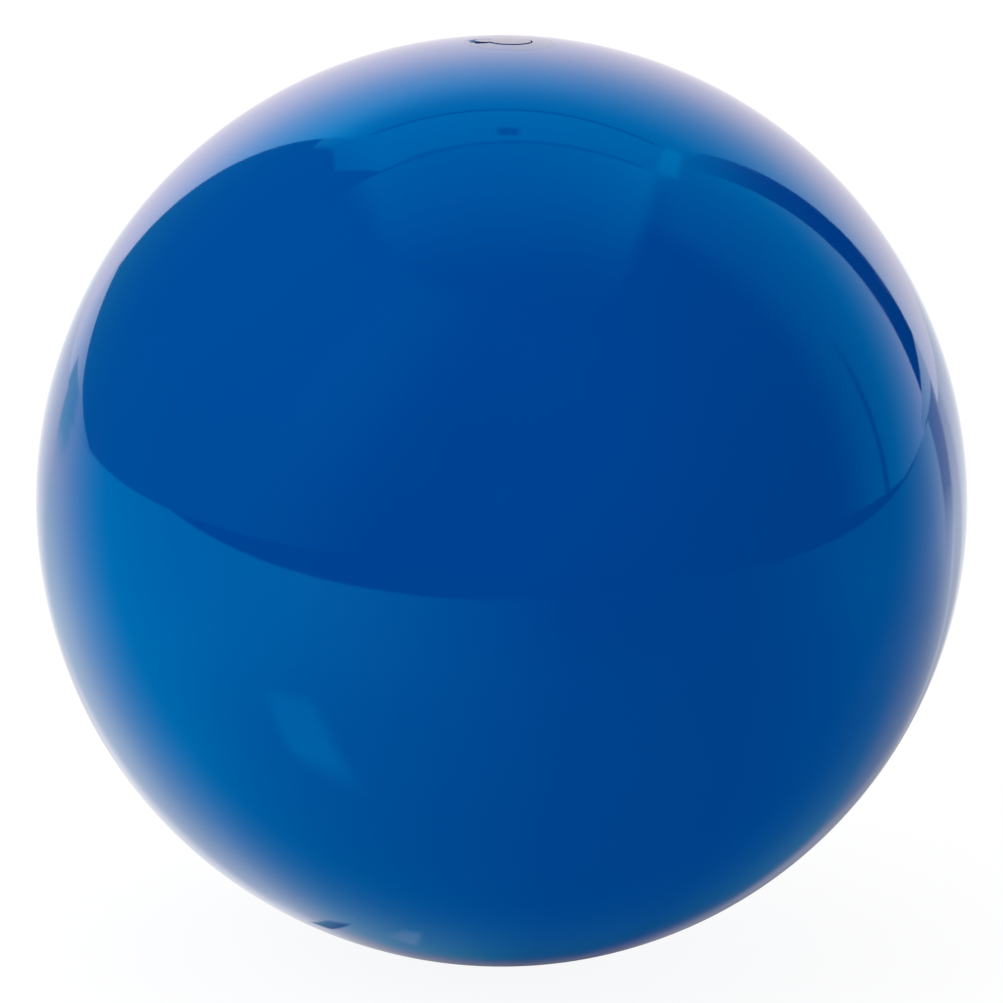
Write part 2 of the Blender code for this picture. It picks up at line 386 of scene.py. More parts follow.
def insert_surface(insert):
    """Insert's profile carried round, with a domed face and the nail scoop pressed into it.

    The face follows a share of the sphere's curve, sqrt(R^2 - r^2), and falls by the scoop's depth
    over a smooth step of the distance to a round-ended bar. Points on the recess wall keep their
    share of the height between the recess floor and that face.
    """
    flange_bottom = insert.flange_top - insert.flange_thickness
    profile = closed_outline(
        [
            (insert.neck_radius, 0, SEAM_EDGE),
            (insert.neck_radius, insert.flange_top, INSERT_EDGE),
            (insert.flange_radius, insert.flange_top, INSERT_EDGE),
            (insert.flange_radius, flange_bottom, INSERT_EDGE),
            (insert.tube_radius, flange_bottom, TUBE_FILLET),
            (insert.tube_radius, insert.tube_end, INSERT_EDGE),
            (insert.bore_end, insert.tube_end, INSERT_EDGE),
            (insert.bore_mouth, insert.recess_floor, BORE_EDGE),
            (insert.recess_radius, insert.recess_floor, RECESS_FILLET),
            (insert.recess_radius, 0, RECESS_EDGE),
        ]
    )
    grid = turned(profile, full_turn(VALVE_COLUMNS))
    x, y, z = np.moveaxis(grid, -1, 0)
    r = np.hypot(x, y)
    curve = np.sqrt(BALL_RADIUS**2 - np.minimum(r, insert.neck_radius) ** 2)
    dome = insert.dome * (curve - math.sqrt(BALL_RADIUS**2 - insert.neck_radius**2))
    half = insert.scoop_width / 2
    along = np.clip(-x, 0, insert.scoop_reach - half)
    to_bar = np.hypot(x + along, y) - half
    scoop = insert.scoop_depth * (1 - smooth_step(SCOOP_FOOT, SCOOP_LIP, to_bar))
    above_floor = np.clip(1 - z / insert.recess_floor, 0, 1)
    z += np.where(r < insert.neck_radius, (dome - scoop) * above_floor, 0)
    grid[..., 2] = z + insert.face_height
    return grid


def stem_corners(plug):
    """Corners of the stem from the head down, with evenly spaced ribs.

    The stem narrows in a straight line, and each rib rises in a slope and falls in a steeper one.
    """
    tip_start = plug.stem_end + plug.tip_length
    run = plug.head_bottom - tip_start
    crests = plug.head_bottom - run * np.arange(1, plug.rib_count + 1) / (plug.rib_count + 1)
    offsets = np.array(RIB_PLACES) * plug.rib_width
    rises = np.array(RIB_RISES) * plug.rib_height
    heights = (crests[:, None] + offsets).ravel()
    narrow = plug.stem_taper * (plug.head_bottom - heights) / run
    radii = plug.stem_radius - narrow + np.tile(rises, plug.rib_count)
    rounding = np.full(len(heights), RIB_EDGE)
    return np.stack([radii, heights, rounding], axis=-1)


def plug_surface(plug):
    """Plug's profile carried round, with the tab drawn out of the head's side.

    The profile's points beyond the head are the tab at full reach. At each angle they come back to
    the tab's outline there, and where there is no tab they lie evenly on the head's side. The
    head's top falls by its dome times (r / head radius)^2.
    """
    tip_start = plug.stem_end + plug.tip_length
    tip_radius = plug.stem_radius - plug.stem_taper
    head = [
        (0, plug.head_top, 0),
        (plug.head_radius, plug.head_top, HEAD_EDGE),
        (plug.head_radius, plug.tab_top, TAB_ROOT),
        (plug.tab_reach, plug.tab_top, TAB_EDGE),
        (plug.tab_reach, plug.tab_bottom, TAB_EDGE),
        (plug.head_radius, plug.tab_bottom, TAB_UNDERSIDE),
        (plug.head_radius, plug.head_bottom, HEAD_LOWER_EDGE),
        (plug.stem_radius, plug.head_bottom, STEM_FILLET),
    ]
    corners = np.concatenate([head, stem_corners(plug), [(tip_radius, tip_start, 0)]])
    shaft = open_outline(corners)
    dome = np.linspace(0, math.pi / 2, DOME_STEPS)[1:-1]
    tip = np.stack(
        [tip_radius * np.cos(dome), tip_start - plug.tip_length * np.sin(dome)], axis=-1
    )
    profile = np.concatenate([shaft[1:], tip])

    tab_side = np.linspace(math.pi - TAB_SPREAD, math.pi + TAB_SPREAD, TAB_COLUMNS)
    rest = np.linspace(math.pi + TAB_SPREAD, 3 * math.pi - TAB_SPREAD, VALVE_COLUMNS)[1:-1]
    angles = np.concatenate([tab_side, rest])
    reach = np.maximum(tab_outline(angles, plug.tab_reach, plug.tab_width), plug.head_radius)

    r, z = profile.T
    on_tab = r > plug.head_radius + ROUNDING_ERROR
    first, last = np.flatnonzero(on_tab)[[0, -1]]
    spread = np.clip((np.arange(len(r)) - first) / (last - first), 0, 1)
    beyond = np.where(on_tab, (r - plug.head_radius) / (plug.tab_reach - plug.head_radius), 0)
    drawn = smooth_step(0, TAB_DRAW, reach - plug.head_radius)
    side_z = np.where(on_tab, z[first] + (z[last] - z[first]) * spread, z)
    ring = np.where(on_tab, plug.head_radius, r)
    radius = ring[:, None] + beyond[:, None] * (reach - plug.head_radius)
    level_z = side_z[:, None] + (z - side_z)[:, None] * drawn
    drop = plug.dome * (r / plug.head_radius) ** 2
    level_z -= np.where(z > plug.tab_top, drop, 0)[:, None]
    grid = np.stack(
        [radius * np.cos(angles), radius * np.sin(angles), level_z + FACE_HEIGHT], axis=-1
    )
    poles = np.array([[0, 0, plug.head_top], [0, 0, plug.stem_end]])
    poles[:, 2] += FACE_HEIGHT
    return grid, poles


def corner_mix(corners):
    """Grid between four corners given in turn, mixed by the shares across and along."""
    u = np.linspace(0, 1, CARD_CELLS + 1)[None, :, None]
    v = np.linspace(0, 1, CARD_CELLS + 1)[:, None, None]
    a, b, c, d = np.array(corners, float)
    return (a * (1 - u) + b * u) * (1 - v) + (d * (1 - u) + c * u) * v


def level_surface(corners, z):
    """Level sheet between four (x, y) corners."""
    flat = corner_mix(corners)
    return np.concatenate([flat, np.full_like(flat[..., :1], z)], axis=-1)


def wall_surface(corners, distance):
    """Part of a sphere around the ball, between four corners of azimuth and elevation in degrees.

    Azimuth 0 is towards -Y and 90 towards +X: d (sin a cos e, -cos a cos e, sin e).
    """
    a, e = np.radians(np.moveaxis(corner_mix(corners), -1, 0))
    return distance * np.stack([np.sin(a) * np.cos(e), -np.cos(a) * np.cos(e), np.sin(e)], axis=-1)


def grid_mesh(name, grid, around=False, loop=False, poles=None):
    """Mesh over a grid of points.

    With around, the last column joins the first, and with loop the last row does. The two poles
    close the first and last rows as fans. A closed mesh whose volume comes out negative is turned.
    """
    rows, columns = grid.shape[:2]
    index = np.arange(rows * columns).reshape(rows, columns)
    if around:
        index = np.concatenate([index, index[:, :1]], axis=1)
    if loop:
        index = np.concatenate([index, index[:1]])
    corners = [index[:-1, :-1], index[1:, :-1], index[1:, 1:], index[:-1, 1:]]
    quads = np.stack(corners, axis=-1).reshape(-1, 4)
    points = grid.reshape(-1, 3)
    fans = np.empty((0, 3), int)
    if poles is not None:
        start, end = len(points), len(points) + 1
        points = np.concatenate([points, poles])
        first, last = index[0], index[-1]
        fans = np.concatenate(
            [
                np.stack([np.full(columns, start), first[:-1], first[1:]], axis=-1),
                np.stack([np.full(columns, end), last[1:], last[:-1]], axis=-1),
            ]
        )
    triangles = np.concatenate([quads[:, [0, 1, 2]], quads[:, [0, 2, 3]], fans])
    a, b, c = (points[triangles[:, i]] for i in range(3))
    if around and (a * np.cross(b, c)).sum() < 0:
        quads, fans = quads[:, ::-1], fans[:, ::-1]
    mesh = bpy.data.meshes.new(name)
    mesh.from_pydata(points.tolist(), [], quads.tolist() + fans.tolist())
    mesh.shade_smooth()
    return mesh


def glow_mesh(name, grid, glow):
    """Open mesh over a grid of points, with its light and cover as a colour attribute."""
    mesh = grid_mesh(name, grid)
    attribute = mesh.attributes.new("glow", "FLOAT_COLOR", "POINT")
    attribute.data.foreach_set("color", glow.astype(np.float32).ravel())
    return mesh


def new_object(name, mesh, material):
    mesh.materials.append(material)
    made = bpy.data.objects.new(name, mesh)
    bpy.context.scene.collection.objects.link(made)
    return made


class Value:
    """A node's output. Sums, differences and products with it add Math nodes."""

    def __init__(self, nodes, socket):
        self.nodes = nodes
        self.socket = socket

    def math(self, operation, first, second):
        return self.nodes.add("Math", {"operation": operation}, {0: first, 1: second})

    def __add__(self, other):
        return self.math("ADD", self, other)

    def __radd__(self, other):
        return self.math("ADD", other, self)

    def __sub__(self, other):
        return self.math("SUBTRACT", self, other)

    def __rsub__(self, other):
        return self.math("SUBTRACT", other, self)

    def __mul__(self, other):
        return self.math("MULTIPLY", self, other)

    def __rmul__(self, other):
        return self.math("MULTIPLY", other, self)


class Nodes:
    """Nodes of one material or world."""

    def __init__(self, tree):
        tree.nodes.clear()
        self.tree = tree

    def add(self, kind, settings=None, inputs=None, output=0):
        """New node. Settings go in first, then the values or links of its sockets."""
        node = self.tree.nodes.new("ShaderNode" + kind)
        for name, value in (settings or {}).items():
            setattr(node, name, value)
        for name, value in (inputs or {}).items():
            socket = node.inputs[name]
            if isinstance(value, Value):
                self.tree.links.new(value.socket, socket)
            else:
                socket.default_value = value
        return Value(self, node.outputs[output]) if node.outputs else None

    def step(self, value, low, high):
        """Smooth step from 0 at low to 1 at high. High may be the lower of the two."""
        flip = high < low
        inputs = {"Value": value, "From Min": min(low, high), "From Max": max(low, high)}
        inputs |= {"To Min": float(flip), "To Max": float(not flip)}
        return self.add("MapRange", {"interpolation_type": "SMOOTHSTEP"}, inputs)

    def noise(self, place, scale, detail=2.0, distortion=0.0):
        inputs = {"Vector": place, "Scale": scale, "Detail": detail, "Distortion": distortion}
        return self.add("TexNoise", {}, inputs)

    def mix_colours(self, factor, first, second):
        if not isinstance(first, Value):
            first = (*first, 1)
        if not isinstance(second, Value):
            second = (*second, 1)
        return self.add("Mix", {"data_type": "RGBA"}, {0: factor, 6: first, 7: second}, output=2)

    def stretched(self, place, turn, scale):
        """Coordinates turned and then stretched, for marks that run one way."""
        return self.add("Mapping", {}, {"Vector": place, "Rotation": turn, "Scale": scale})

    def surface(self, shader):
        self.add("OutputMaterial", {}, {"Surface": shader})


def new_finish(name):
    material = bpy.data.materials.new(name)
    material.use_nodes = True
    return material, Nodes(material.node_tree)


# Gloss of the three finishes, the heights of their relief, and the insert's darker clouds
GLOSS_IOR = 1.5
PEEL_HEIGHT = 0.000006
INSERT_GRAIN = 0.0000008
PLUG_GRAIN = 0.000001
DEEP_SHARE = 0.86

# Marks on the skin: what they add to its roughness, relief and colour
LINE_ROUGHNESS = 0.10
LINE_DEPTH = 0.08
FINE_PEEL = 0.25
DUST_ROUGHNESS = 0.35
DUST_COVER = 0.5

# Layer Weight's facing over which the skin's blue sheen comes in and goes out
SHEEN_IN = (0.02, 0.16)
SHEEN_OUT = (0.77, 0.45)

# Insert and plug: what clouds and bloom add to the roughness, and what wear takes off
CLOUD_ROUGHNESS = 0.05
RUBBED_SHINE = 0.05
BLOOM_ROUGHNESS = 0.08
MARK_SHINE = 0.06
MARK_DEPTH = 0.6


def skin_finish(skin):
    """Glossy moulded skin: slow pigment clouds, handling smudges, hair lines, dust and orange peel.

    Where the skin is seen at a slant, a sheen of tinted gloss over the body colour takes the main
    shader's place, so that the gloss stays blue and turns white only close to the outline.
    """
    material, nodes = new_finish("glossy_blue_skin")
    place = nodes.add("TexCoord", output=3)

    clouds = nodes.step(nodes.noise(place, 17, 4), 0.36, 0.66)
    smudges = nodes.step(nodes.noise(place, 26, 5, 0.8), 0.50, 0.74)
    turned_place = nodes.stretched(place, (0.5, 0.9, 0.3), (30, 900, 30))
    lines = nodes.step(nodes.noise(turned_place, 1, 1), 0.70, 0.78)
    lines = lines * nodes.step(nodes.noise(place, 40, 1), 0.56, 0.68)
    grains = nodes.add("TexVoronoi", {}, {"Vector": place, "Scale": 150.0})
    dust = nodes.step(grains, 0.05, 0.03) * nodes.step(nodes.noise(place, 55, 1), 0.60, 0.66)

    pigment = nodes.mix_colours(clouds, skin.colour, skin.pale_colour)
    seen = nodes.mix_colours(dust * DUST_COVER, pigment, skin.dust_colour)
    roughness = skin.roughness + skin.smudge * smudges
    roughness = roughness + LINE_ROUGHNESS * lines + DUST_ROUGHNESS * dust
    peel = nodes.noise(place, 120, 1) + FINE_PEEL * nodes.noise(place, 420, 1)
    peel = peel - LINE_DEPTH * lines
    bump = nodes.add("Bump", {}, {"Strength": 1.0, "Distance": PEEL_HEIGHT, "Height": peel})
    skin_shader = nodes.add(
        "BsdfPrincipled",
        {},
        {
            "Base Color": seen,
            "Roughness": roughness,
            "IOR": GLOSS_IOR,
            "Specular Tint": (*skin.gloss_tint, 1),
            "Normal": bump,
        },
    )
    body = nodes.add("BsdfDiffuse", {}, {"Color": (*skin.colour, 1), "Normal": bump})
    blue_gloss = {"Color": (*skin.gloss_tint, 1), "Roughness": skin.roughness, "Normal": bump}
    gloss = nodes.add("BsdfGlossy", {}, blue_gloss)
    mirrored = nodes.add("Fresnel", {}, {"IOR": GLOSS_IOR})
    blue_sheen = nodes.add("MixShader", {}, {0: mirrored, 1: body, 2: gloss})
    facing = nodes.add("LayerWeight", {}, {"Blend": 0.5}, output=1)
    slanted = nodes.step(facing, *SHEEN_IN) * nodes.step(facing, *SHEEN_OUT)
    nodes.surface(nodes.add("MixShader", {}, {0: slanted, 1: skin_shader, 2: blue_sheen}))
    return material


def insert_finish(insert):
    """Satin soft PVC of the insert: fine moulded grain, and rubbed patches that shine more."""
    material, nodes = new_finish("satin_blue_insert")
    place = nodes.add("TexCoord", output=3)
    clouds = nodes.step(nodes.noise(place, 240, 3), 0.35, 0.70)
    rubbed = nodes.step(nodes.noise(place, 420, 3, 0.5), 0.50, 0.72)
    grain = nodes.noise(place, 3800, 2)
    deep = tuple(DEEP_SHARE * c for c in insert.colour)
    seen = nodes.mix_colours(clouds, deep, insert.colour)
    bump = nodes.add("Bump", {}, {"Strength": 1.0, "Distance": INSERT_GRAIN, "Height": grain})
    shader = nodes.add(
        "BsdfPrincipled",
        {},
        {
            "Base Color": seen,
            "Roughness": insert.roughness + CLOUD_ROUGHNESS * clouds - RUBBED_SHINE * rubbed,
            "IOR": GLOSS_IOR,
            "Specular Tint": (*insert.gloss_tint, 1),
            "Normal": bump,
        },
    )
    nodes.surface(shader)
    return material


def plug_finish(plug):
    """Satin navy rubber of the plug: fine grain, a pale bloom in patches and a few nail marks."""
    material, nodes = new_finish("satin_navy_plug")
    place = nodes.add("TexCoord", output=3)
    bloom = nodes.step(nodes.noise(place, 520, 4), 0.46, 0.72)
    turned_place = nodes.stretched(place, (0, 0, 0.6), (5200, 320, 320))
    marks = nodes.step(nodes.noise(turned_place, 1, 1), 0.66, 0.74)
    marks = marks * nodes.step(nodes.noise(place, 300, 1), 0.52, 0.62)
    grain = nodes.noise(place, 4200, 2) - MARK_DEPTH * marks
    seen = nodes.mix_colours(bloom, plug.colour, plug.worn_colour)
    bump = nodes.add("Bump", {}, {"Strength": 1.0, "Distance": PLUG_GRAIN, "Height": grain})
    shader = nodes.add(
        "BsdfPrincipled",
        {},
        {
            "Base Color": seen,
            "Roughness": plug.roughness + BLOOM_ROUGHNESS * bloom - MARK_SHINE * marks,
            "IOR": GLOSS_IOR,
            "Specular Tint": (*plug.gloss_tint, 1),
            "Normal": bump,
        },
    )
    nodes.surface(shader)
    return material


class Card(NamedTuple):
    """Sheet that only the gloss sees, with its corners, brightness and soft edges.

    Corners go round from the first. They are azimuth and elevation in degrees on a wall, and x and y
    on a level sheet, which has a height. Brightness is given at the corners, with shares for the
    middle across at both ends along, and red is the share of it that the red light has. The soft
    edges are shares of the card at both ends across and at both ends along.
    """

    name: str
    corners: tuple
    levels: tuple
    soft: tuple = (0, 0, 0, 0)
    middle: tuple = (1.0, 1.0)
    red: float = 1.0
    distance: float = 3.0
    height: float | None = None


CEILING = 2.0  # above the ball's centre
ROOM_TINT = (0.7, 1.0, 1.0)  # of the dark room that the gloss shows
FLOOR_LIFT = 0.001  # of the level cards above the floor
CARDS = (
    Card(
        "backdrop",
        corners=((142, -4), (211, -4), (216, 54), (142, 54)),
        levels=(1.85, 1.40, 3.20, 1.75),
        soft=(0, 0, 0, 0.22),
        middle=(0.62, 0.92),
        red=1.1,
        distance=2.6,
    ),
    Card(
        "left_wall",
        corners=((-149, -9), (-34, -9), (4, 66), (-146, 66)),
        levels=(0.30, 0.90, 0.75, 0.45),
        soft=(0, 0.3, 0, 0.08),
        distance=3.1,
    ),
    Card(
        "left_wall_end",
        corners=((-149, -9), (-110, -9), (-100, 66), (-146, 66)),
        levels=(0.26, 0.42, 0.45, 0.52),
        soft=(0, 0.4, 0, 0.08),
        red=0.1,
        distance=3.05,
    ),
    Card(
        "left_foot",
        corners=((209, -3), (245, -3), (226, 1.6), (211, 7)),
        levels=(1.5, 1.3, 1.3, 1.5),
        distance=2.5,
    ),
    Card(
        "left_wedge",
        corners=((214.5, -2.7), (232, -2.7), (229, 0.75), (216.3, 0.6)),
        levels=(0.78, 1.1, 1.1, 0.85),
        soft=(0.12, 0.4, 0, 0.15),
        red=0.55,
        distance=2.4,
    ),
    Card(
        "right_wall",
        corners=((84, -4.7), (133.3, 0.1), (133.6, 70), (84, 72)),
        levels=(0.45, 1.75, 1.25, 0.50),
        soft=(0.38, 0, 0, 0.2),
        red=1.5,
        distance=3.1,
    ),
    Card(
        "right_strip",
        corners=((105.4, -3), (108.6, -3), (107.4, 28), (104.8, 28)),
        levels=(0.3, 0.3, 0.3, 0.3),
        soft=(0.4, 0.4, 0.02, 0.5),
        distance=2.9,
    ),
    Card(
        "right_gap",
        corners=((132, 0.3), (144, 0.3), (144, 40), (132, 40)),
        levels=(0, 0, 0, 0),
        soft=(0, 0, 0, 0.5),
        distance=3.2,
    ),
    Card(
        "right_gap_top",
        corners=((132, 34), (144, 30), (144, 52), (132, 56)),
        levels=(1.2, 1.2, 1.4, 1.4),
        soft=(0, 0, 0.9, 0),
        distance=3.15,
    ),
    Card(
        "right_foot",
        corners=((128, 0.05), (142, 0.1), (142, 5.0), (128, 1.0)),
        levels=(1.3, 1.4, 1.4, 1.3),
        soft=(0.05, 0, 0, 0.1),
        distance=2.5,
    ),
    Card(
        "ceiling_back",
        corners=((-1.15, 1.29), (1.2, 1.29), (2.6, 4.5), (-2.9, 4.5)),
        levels=(1.65, 1.65, 1.6, 1.6),
        soft=(0.03, 0.03, 0.02, 0.1),
        red=1.1,
        height=CEILING + 0.1,
    ),
    Card(
        "ceiling_strip",
        corners=((-0.81, 0.59), (1.05, 0.76), (1.0, 1.23), (-0.81, 1.23)),
        levels=(1.75, 1.75, 1.8, 1.8),
        height=CEILING,
    ),
    Card(
        "ceiling_strip_end",
        corners=((-0.81, 0.59), (-0.81, 1.23), (-1.13, 1.44), (-1.14, 0.91)),
        levels=(1.75, 1.75, 1.3, 1.1),
        height=CEILING,
    ),
    Card(
        "ceiling_blot",
        corners=((-0.08, 0.75), (0.08, 0.75), (0.08, 0.92), (-0.08, 0.92)),
        levels=(0.6, 0.6, 0.6, 0.6),
        soft=(0.25, 0.25, 0.2, 0.4),
        height=CEILING - 0.05,
    ),
    Card(
        "ceiling_gap",
        corners=((-0.72, 0.585), (0.96, 0.725), (0.96, 0.795), (-0.72, 0.655)),
        levels=(0.9, 0.9, 0.9, 0.9),
        soft=(0.12, 0.12, 0.45, 0.45),
        height=CEILING - 0.01,
    ),
    Card(
        "ceiling_front",
        corners=((-1.05, -1.4), (1.03, -1.3), (1.07, 0.82), (-1.16, 0.53)),
        levels=(0.2, 0.1, 2.5, 1.8),
        soft=(0.16, 0.08, 0.75, 0),
        middle=(1.0, 0.68),
        height=CEILING + 0.02,
    ),
    Card(
        "ceiling_spot",
        corners=((0.87, 0.70), (1.10, 0.76), (1.10, 1.33), (0.93, 1.30)),
        levels=(2.5, 2.3, 2.3, 2.5),
        soft=(0.25, 0.3, 0.15, 0.25),
        height=CEILING - 0.1,
    ),
    # Dim strip across the floor that only the gloss sees: a painted shadow
    Card(
        "floor_shadow_wedge",
        corners=((0.22, 0.201), (0.27, 0.205), (14.6, 13.75), (11.9, 16.1)),
        levels=(0.55, 0.55, 0.55, 0.55),
        soft=(0.25, 0.1, 0.02, 0),
        height=FLOOR_LIFT - BALL_RADIUS,
    ),
    Card(
        "floor_left_wedge",
        corners=((-0.45, 0.504), (-0.53, 0.43), (-2.0, 1.67), (-1.53, 2.07)),
        levels=(0.95, 1.2, 1.1, 0.78),
        soft=(0.12, 0.4, 0.35, 0),
        red=0.55,
        height=FLOOR_LIFT - BALL_RADIUS,
    ),
    # Bright patch on the floor that only the gloss sees: a painted highlight
    Card(
        "floor_highlight",
        corners=((-0.162, -0.129), (-0.118, -0.162), (-0.040, -0.099), (-0.088, -0.094)),
        levels=(2.4, 2.4, 2.4, 2.4),
        soft=(0.3, 0.3, 0.25, 0.3),
        height=FLOOR_LIFT - BALL_RADIUS,
    ),
    # Dark sheet by the foot that only the gloss sees: painted shade
    Card(
        "floor_painted_shade",
        corners=((-0.042, -0.009), (-0.036, -0.017), (-0.032, -0.037), (-0.039, -0.028)),
        levels=(0.45, 0.12, 0.12, 0.45),
        soft=(0.25, 0.20, 0.25, 0.25),
        red=0.5,
        height=FLOOR_LIFT - BALL_RADIUS,
    ),
    # Pale sheet by the foot that only the gloss sees: a painted patch of light
    Card(
        "floor_painted_light",
        corners=((-0.027, -0.034), (-0.022, -0.044), (-0.016, -0.046), (-0.016, -0.033)),
        levels=(0.6, 0.75, 0.75, 0.6),
        soft=(0.35, 0.25, 0.4, 0.25),
        red=0.6,
        height=FLOOR_LIFT - BALL_RADIUS,
    ),
)

# Floor brightness by azimuth in degrees, close to the ball and far from it
FLOOR_LIGHT = np.array(
    [
        (-180, 1.10, 1.15),
        (-145, 1.15, 1.25),
        (-137, 1.10, 1.20),
        (-100, 1.95, 2.10),
        (-72, 2.35, 2.30),
        (-45, 1.80, 2.30),
        (-22, 1.30, 1.50),
        (-5, 0.92, 0.80),
        (14, 0.52, 0.20),
        (50, 0.34, 0.20),
        (72, 0.55, 0.55),
        (86, 0.65, 0.83),
        (105, 0.72, 0.76),
        (121, 0.73, 0.97),
        (132, 0.75, 1.30),
        (135.5, 1.05, 1.50),
        (138, 0.70, 1.20),
        (144, 0.80, 1.05),
        (147, 1.12, 1.28),
        (154, 0.95, 1.15),
        (180, 1.10, 1.15),
    ]
)
NEAR_DISTANCE = 0.12
FAR_DISTANCE = 0.6

# Floor's innermost and outermost rings, and its edges: y = bend x^2 - slope x - edge in front and
# y = slope x - edge at the right. The floor's light fades in over each edge's softness
FLOOR_INNER = 0.004
FLOOR_RADIUS = 9
FRONT_EDGE = 0.655
FRONT_SLOPE = 0.1
FRONT_BEND = 0.012
FRONT_SOFTNESS = 0.02
RIGHT_EDGE = 1.37
RIGHT_SLOPE = 1.02
RIGHT_SOFTNESS = 0.05

# Shade at the ball's foot: share of light by distance, which reaches farthest at one azimuth
SHADE_DISTANCES = (0, 0.03, 0.05, 0.08, 0.13, 0.25)
SHADE_SHARES = (0.15, 0.22, 0.43, 0.55, 0.78, 1.0)
SHADE_AZIMUTH = 130
SHADE_STRETCH = 0.8

# Red that the floor's light is short of, by azimuth in degrees, close to the ball and far from it
RED_LOSS = np.array(
    [
        (-143, 0.00, 0.00),
        (-136, 0.20, 0.20),
        (-62, 0.30, 0.25),
        (-45, 0.85, 0.25),
        (-22, 0.90, 0.25),
        (0, 0.70, 0.25),
        (14, 0.45, 0.25),
        (50, 0.30, 0.25),
        (72, 0.46, 0.25),
        (97, 0.50, 0.25),
        (106, 0.20, 0.20),
        (142, 0.00, 0.00),
    ]
)

# Ring of pale light around the foot: its distance by azimuth either way, and its gain by azimuth
FOOT_RING = np.array(
    [
        (0, 0.022),
        (37, 0.025),
        (65, 0.036),
        (85, 0.046),
        (100, 0.065),
        (115, 0.0925),
        (126, 0.131),
        (134, 0.186),
    ]
)
FOOT_GAIN = np.array(
    [
        (-140, 0.0),
        (-130, 0.2),
        (-75, 0.25),
        (-40, 0.0),
        (-10, 0.0),
        (10, 0.4),
        (37, 1.1),
        (61, 1.1),
        (82, 1.5),
        (100, 1.0),
        (114, 0.4),
        (128, 0.1),
        (138, 0.0),
    ]
)

# Shares of the ring's distance: where its gain fades, and the band in which the red is short
GAIN_FADE = (1.0, 1.35)
RED_BAND_IN = (1.05, 1.5)
RED_BAND_OUT = (2.8, 4.2)

# Lamps
LAMP_SIZE = 1.6
KEY_PLACE = (-1.7, -1.25, 1.75)
TOP_PLACE = (-0.4, 0.3, 2.4)


def card_glow(card):
    """Brightness mixed from the card's corners, with soft edges.

    At the share u across, the middle's dimming counts by 4 u (1 - u).
    """
    across = np.linspace(0, 1, CARD_CELLS + 1)[None, :]
    along = np.linspace(0, 1, CARD_CELLS + 1)[:, None]
    levels = corner_mix(np.array(card.levels)[:, None])[..., 0]
    middle = card.middle[0] + (card.middle[1] - card.middle[0]) * along
    levels = levels * (1 + (middle - 1) * 4 * across * (1 - across))
    cover = np.ones_like(levels)
    for share_in, width in zip((across, 1 - across, along, 1 - along), card.soft):
        if width:
            cover = cover * smooth_step(0, width, share_in)
    return np.stack([levels * card.red, levels, levels, cover], axis=-1)


def floor_grid(z):
    """Level disc of rings that widen by a fixed ratio: (r sin a, -r cos a, z)."""
    rings = np.geomspace(FLOOR_INNER, FLOOR_RADIUS, FLOOR_RINGS)[:, None]
    azimuths = np.linspace(-math.pi, math.pi, FLOOR_COLUMNS + 1)[None, :]
    x, y = rings * np.sin(azimuths), -rings * np.cos(azimuths)
    return np.stack([x, y, np.full_like(x, z)], axis=-1)


def by_azimuth(table, azimuth, far):
    """Table's near and far values at an azimuth, mixed by how far away a point is."""
    at, near, distant = table.T
    near_values = np.interp(azimuth, at, near)
    return near_values + (np.interp(azimuth, at, distant) - near_values) * far


def floor_glow(grid):
    """Floor's brightness by azimuth and by distance from the ball's foot.

    The foot's shade reaches farthest at one azimuth, by a smooth step of the cosine from it. A
    pale ring close around the foot gains light, and a band outside that ring is short of red.
    """
    x, y, _ = np.moveaxis(grid, -1, 0)
    azimuth = np.degrees(np.arctan2(x, -y))
    reach = np.hypot(x, y)
    far = smooth_step(math.log(NEAR_DISTANCE), math.log(FAR_DISTANCE), np.log(reach))
    levels = by_azimuth(FLOOR_LIGHT, azimuth, far)
    lobe = smooth_step(0, 1, np.cos(np.radians(azimuth - SHADE_AZIMUTH)))
    shade = np.interp(reach / (1 + SHADE_STRETCH * lobe), SHADE_DISTANCES, SHADE_SHARES)
    ring_share = reach / np.interp(np.abs(azimuth), *FOOT_RING.T)
    band = smooth_step(*RED_BAND_IN, ring_share) * (1 - smooth_step(*RED_BAND_OUT, ring_share))
    red = np.maximum(levels - by_azimuth(RED_LOSS, azimuth, far) * band, 0)
    gain = np.interp(azimuth, *FOOT_GAIN.T) * (1 - smooth_step(*GAIN_FADE, ring_share))
    shade = shade * (1 + gain)
    light = np.stack([red, levels, levels], axis=-1)
    return np.concatenate([light * shade[..., None], np.ones_like(shade)[..., None]], axis=-1)


def card_finish(name):
    """Glow from the mesh's colours, with their alpha as cover."""
    material, nodes = new_finish(name)
    colour_of = nodes.add("Attribute", {"attribute_name": "glow"}, output=0)
    cover = nodes.add("Attribute", {"attribute_name": "glow"}, output=3)
    glow = nodes.add("Emission", {}, {"Color": colour_of})
    nothing = nodes.add("BsdfTransparent")
    nodes.surface(nodes.add("MixShader", {}, {0: cover, 1: nothing, 2: glow}))
    material.cycles.emission_sampling = "NONE"
    return material


